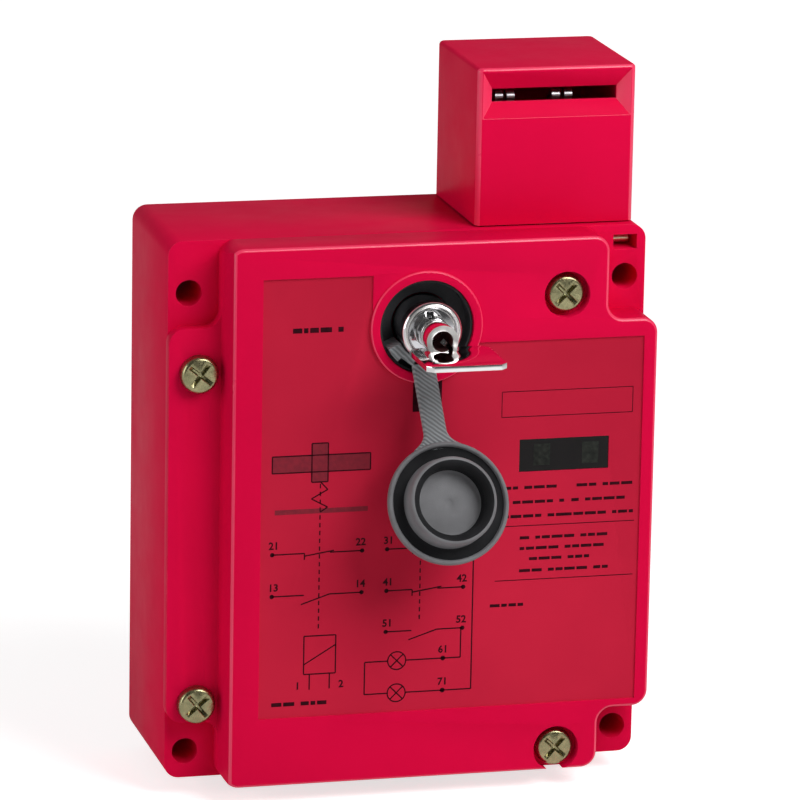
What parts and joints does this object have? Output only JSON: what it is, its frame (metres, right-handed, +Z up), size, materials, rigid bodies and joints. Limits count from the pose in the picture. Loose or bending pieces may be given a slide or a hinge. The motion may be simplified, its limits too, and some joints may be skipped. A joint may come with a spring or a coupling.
{
  "type": "tongue interlock switch",
  "caption": "Guard-locking tongue interlock switch: cast body with raised cover, turning slot head, key release lock under a tethered cap, lamp window and cable entries.",
  "frame": {"origin": "centre of the four fixing holes on the mounting plane at the back", "axes": "+Z up towards the turret head, +Y from the front into the mounting surface, +X to the right seen from the front"},
  "size_m": [0.098, 0.0681, 0.146],
  "materials": {
    "red_paint": "fine-textured semi-gloss paint on a zinc casting",
    "cast_zinc": "bare pressure die casting",
    "black_rubber": "matt black seal rubber",
    "grey_rubber": "matt mid-grey moulded rubber",
    "yellow_zinc": "yellow passivated zinc plate",
    "black_plastic": "matt black thermoplastic",
    "smoked_plastic": "dark smoked gloss lens",
    "circuit_board": "green lacquered board",
    "lamp_plastic": "clear lamp lens",
    "chrome_plate": "bright nickel chrome",
    "steel": "plain zinc-plated steel",
    "brass_parts": "drawn brass",
    "white_plastic": "natural acetal",
    "copper_winding": "lacquered copper winding in tape"
  },
  "bodies": {
    "enclosure": {"housing": "red_paint", "front_cover": "red_paint", "cover_gasket": "black_rubber", "cover_screws": "yellow_zinc", "blanking_plug": "black_plastic", "plug_washer": "black_rubber", "lamp_window": "smoked_plastic", "lamp_board": "circuit_board", "status_lamps": "lamp_plastic", "board_screws": "yellow_zinc", "lock_barrel": "chrome_plate", "lock_nut": "steel", "cap_ring": "black_rubber", "tether_anchor": "grey_rubber", "retaining_pin": "steel", "rod_bush": "brass_parts", "solenoid_frame": "steel", "solenoid_core": "steel", "solenoid_bobbin": "white_plastic", "solenoid_coil": "copper_winding", "mounting_plate": "steel", "plate_fixings": "yellow_zinc", "bolt_guide": "steel", "earth_terminal": "brass_parts", "earth_screw": "yellow_zinc", "tongue_block_base": "black_plastic", "tongue_block_contacts_left": "brass_parts", "tongue_block_contacts_right": "brass_parts", "tongue_block_terminal_screws": "yellow_zinc", "bolt_block_base": "black_plastic", "bolt_block_contacts_left": "brass_parts", "bolt_block_contacts_right": "brass_parts", "bolt_block_terminal_screws": "yellow_zinc"},
    "turret": {"turret_head": "red_paint", "turret_spigot": "cast_zinc", "head_plate_screws": "yellow_zinc"},
    "cam_wheel": {"tongue_cam": "steel", "side_fingers": "steel", "cam_axle": "steel"},
    "push_rod_set": {"push_rod": "steel", "tongue_block_slide": "white_plastic", "tongue_block_bridges": "brass_parts", "rod_spring": "steel"},
    "bolt_set": {"solenoid_plunger": "steel", "lock_bolt": "steel", "release_link": "steel", "bolt_block_slide": "white_plastic", "bolt_block_bridges": "brass_parts", "bolt_spring": "steel"},
    "lock_rotor": {"lock_plug": "chrome_plate", "release_cam": "steel"},
    "key_body": {"release_key": "chrome_plate"},
    "cap_body": {"dust_cap": "grey_rubber"}
  },
  "joints": [
    {"name": "turret_turn", "type": "hinge", "parent": "enclosure", "child": "turret", "pos_m": [0.0303, -0.01635, 0.0575], "axis": [0, 0, 1], "range_deg": [-90, 180]},
    {"name": "cam_turn", "type": "hinge", "parent": "turret", "child": "cam_wheel", "pos_m": [0.0303, -0.01635, 0.0655], "axis": [-1, 0, 0], "range_deg": [0, 60]},
    {"name": "rod_slide", "type": "slide", "parent": "enclosure", "child": "push_rod_set", "axis": [0, 0, -1], "range_m": [0, 0.004], "stiffness_N_per_m": 60, "springref_m": -0.012, "deforming": ["rod_spring"]},
    {"name": "lock_turn", "type": "hinge", "parent": "enclosure", "child": "lock_rotor", "pos_m": [0.0013, -0.038, 0.04055], "axis": [0, 1, 0], "range_deg": [0, 90]},
    {"name": "key_pull", "type": "slide", "parent": "lock_rotor", "child": "key_body", "axis": [0, -1, 0], "range_m": [0, 0.009]},
    {"name": "bolt_slide", "type": "slide", "parent": "enclosure", "child": "bolt_set", "axis": [-1, 0, 0], "range_m": [0, 0.004], "deforming": ["bolt_spring"]},
    {"name": "cap_swing", "type": "hinge", "parent": "enclosure", "child": "cap_body", "pos_m": [0.0005, -0.0455, 0.0324], "axis": [-1, 0, 0], "range_deg": [0, 35]}
  ],
  "couplings": [
    {"joint": "cam_turn", "follows": "rod_slide", "rad_per_m": 261.8},
    {"joint": "lock_turn", "follows": "bolt_slide", "rad_per_m": 392.7}
  ]
}
